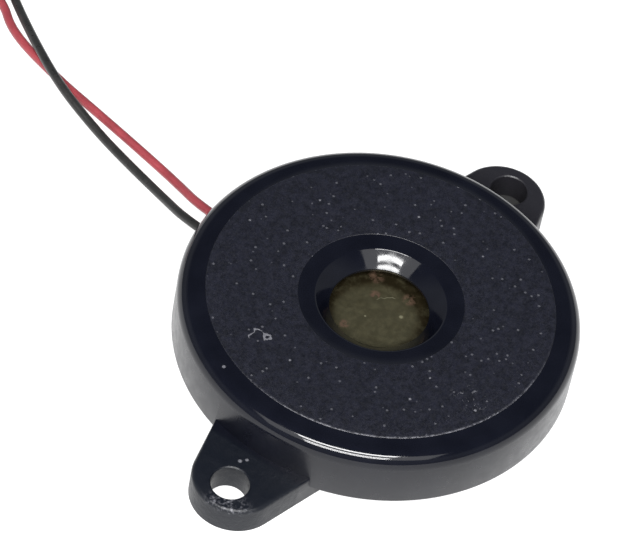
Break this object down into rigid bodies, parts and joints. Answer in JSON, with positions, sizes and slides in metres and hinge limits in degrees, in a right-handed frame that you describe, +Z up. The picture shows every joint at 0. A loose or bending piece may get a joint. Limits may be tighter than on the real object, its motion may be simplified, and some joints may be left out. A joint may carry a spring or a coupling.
{
  "type": "piezo element",
  "caption": "Round black piezo element, 42 mm across, with two screw ears, a sound port and two thin leads.",
  "frame": {"origin": "centre of the base, on the surface the case is screwed to", "axes": "+Z up through the sound port, +X along the line of the two ears, leads leave towards +Y"},
  "size_m": [0.0597, 0.1021, 0.0087],
  "materials": {
    "case_plastic": "glossy moulded, with a fine matt texture on the ring of the face",
    "brass": "dull, lightly tarnished",
    "ceramic": "silvered",
    "adhesive": "silicone",
    "red_insulation": "satin",
    "black_insulation": "satin",
    "tinned_copper": "tinned strands",
    "solder": "bright"
  },
  "bodies": {
    "root": {"housing": "case_plastic", "back_cover": "case_plastic", "brass_diaphragm": "brass", "piezo_ceramic": "ceramic", "diaphragm_adhesive": "adhesive", "lead_sealant": "adhesive", "red_lead": "red_insulation", "black_lead": "black_insulation", "red_lead_coil": "red_insulation", "black_lead_coil": "black_insulation", "red_lead_tail": "red_insulation", "black_lead_tail": "black_insulation", "red_free_end": "tinned_copper", "black_free_end": "tinned_copper", "red_joint_end": "tinned_copper", "black_joint_end": "tinned_copper", "red_solder": "solder", "black_solder": "solder"}
  },
  "joints": []
}
